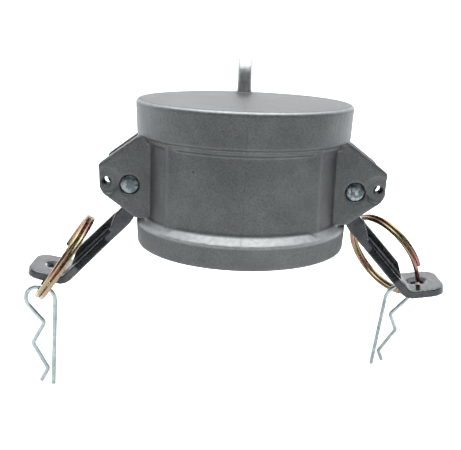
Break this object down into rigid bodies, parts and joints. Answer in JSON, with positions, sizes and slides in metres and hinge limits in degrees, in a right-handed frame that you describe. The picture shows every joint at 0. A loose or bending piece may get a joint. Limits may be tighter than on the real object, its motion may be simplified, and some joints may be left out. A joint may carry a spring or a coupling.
{
  "type": "cam lock dust cap",
  "caption": "Cast dust cap for a cam and groove hose fitting, with cam levers, pull rings, hairpin safety clips and a sealing ring under the closed end.",
  "frame": {"origin": "on the cap's axis at the mouth plane", "axes": "+Z from the mouth to the closed end, X through both pairs of ears, +Y towards the chain lug"},
  "size_m": [0.1798, 0.0899, 0.1457],
  "materials": {
    "cast_aluminium": "blasted casting, matt",
    "nitrile_rubber": "matt moulded",
    "pin_steel": "turned, bright",
    "lever_steel": "tumbled investment casting, dark",
    "yellow_zinc_steel": "yellow zinc passivate, iridescent",
    "zinc_wire": "clear zinc plate, soft shine"
  },
  "bodies": {
    "cap": {"cap_body": "cast_aluminium", "gasket": "nitrile_rubber", "pivot_pin_left": "pin_steel", "pivot_pin_right": "pin_steel"},
    "lever_left": {"cam_lever_left": "lever_steel"},
    "lever_right": {"cam_lever_right": "lever_steel"},
    "ring_left": {"finger_ring_left": "yellow_zinc_steel"},
    "ring_right": {"finger_ring_right": "yellow_zinc_steel"},
    "clip_left": {"safety_clip_left": "zinc_wire"},
    "clip_right": {"safety_clip_right": "zinc_wire"}
  },
  "joints": [
    {"name": "lever_left_hinge", "type": "hinge", "parent": "cap", "child": "lever_left", "pos_m": [-0.0457, 0, 0.0265], "axis": [0, 1, 0], "range_deg": [0, 132]},
    {"name": "lever_right_hinge", "type": "hinge", "parent": "cap", "child": "lever_right", "pos_m": [0.0457, 0, 0.0265], "axis": [0, -1, 0], "range_deg": [0, 130]},
    {"name": "ring_left_swing", "type": "hinge", "parent": "lever_left", "child": "ring_left", "pos_m": [-0.08064, 0, -0.01596], "axis": [-0.372, -0.6699, -0.6425], "range_deg": [0, 90]},
    {"name": "ring_right_swing", "type": "hinge", "parent": "lever_right", "child": "ring_right", "pos_m": [0.07875, 0, -0.01744], "axis": [-0.0238, 0.6714, -0.7407], "range_deg": [0, 90]},
    {"name": "clip_left_swing", "type": "hinge", "parent": "ring_left", "child": "clip_left", "pos_m": [-0.08345, -0.01477, -0.02182], "axis": [0, 0.9781, 0.2079], "range_deg": [-60, 60]},
    {"name": "clip_right_swing", "type": "hinge", "parent": "ring_right", "child": "clip_right", "pos_m": [0.07434, 0.01297, -0.02483], "axis": [-0.2666, 0.8887, 0.373], "range_deg": [-30, 3]}
  ]
}
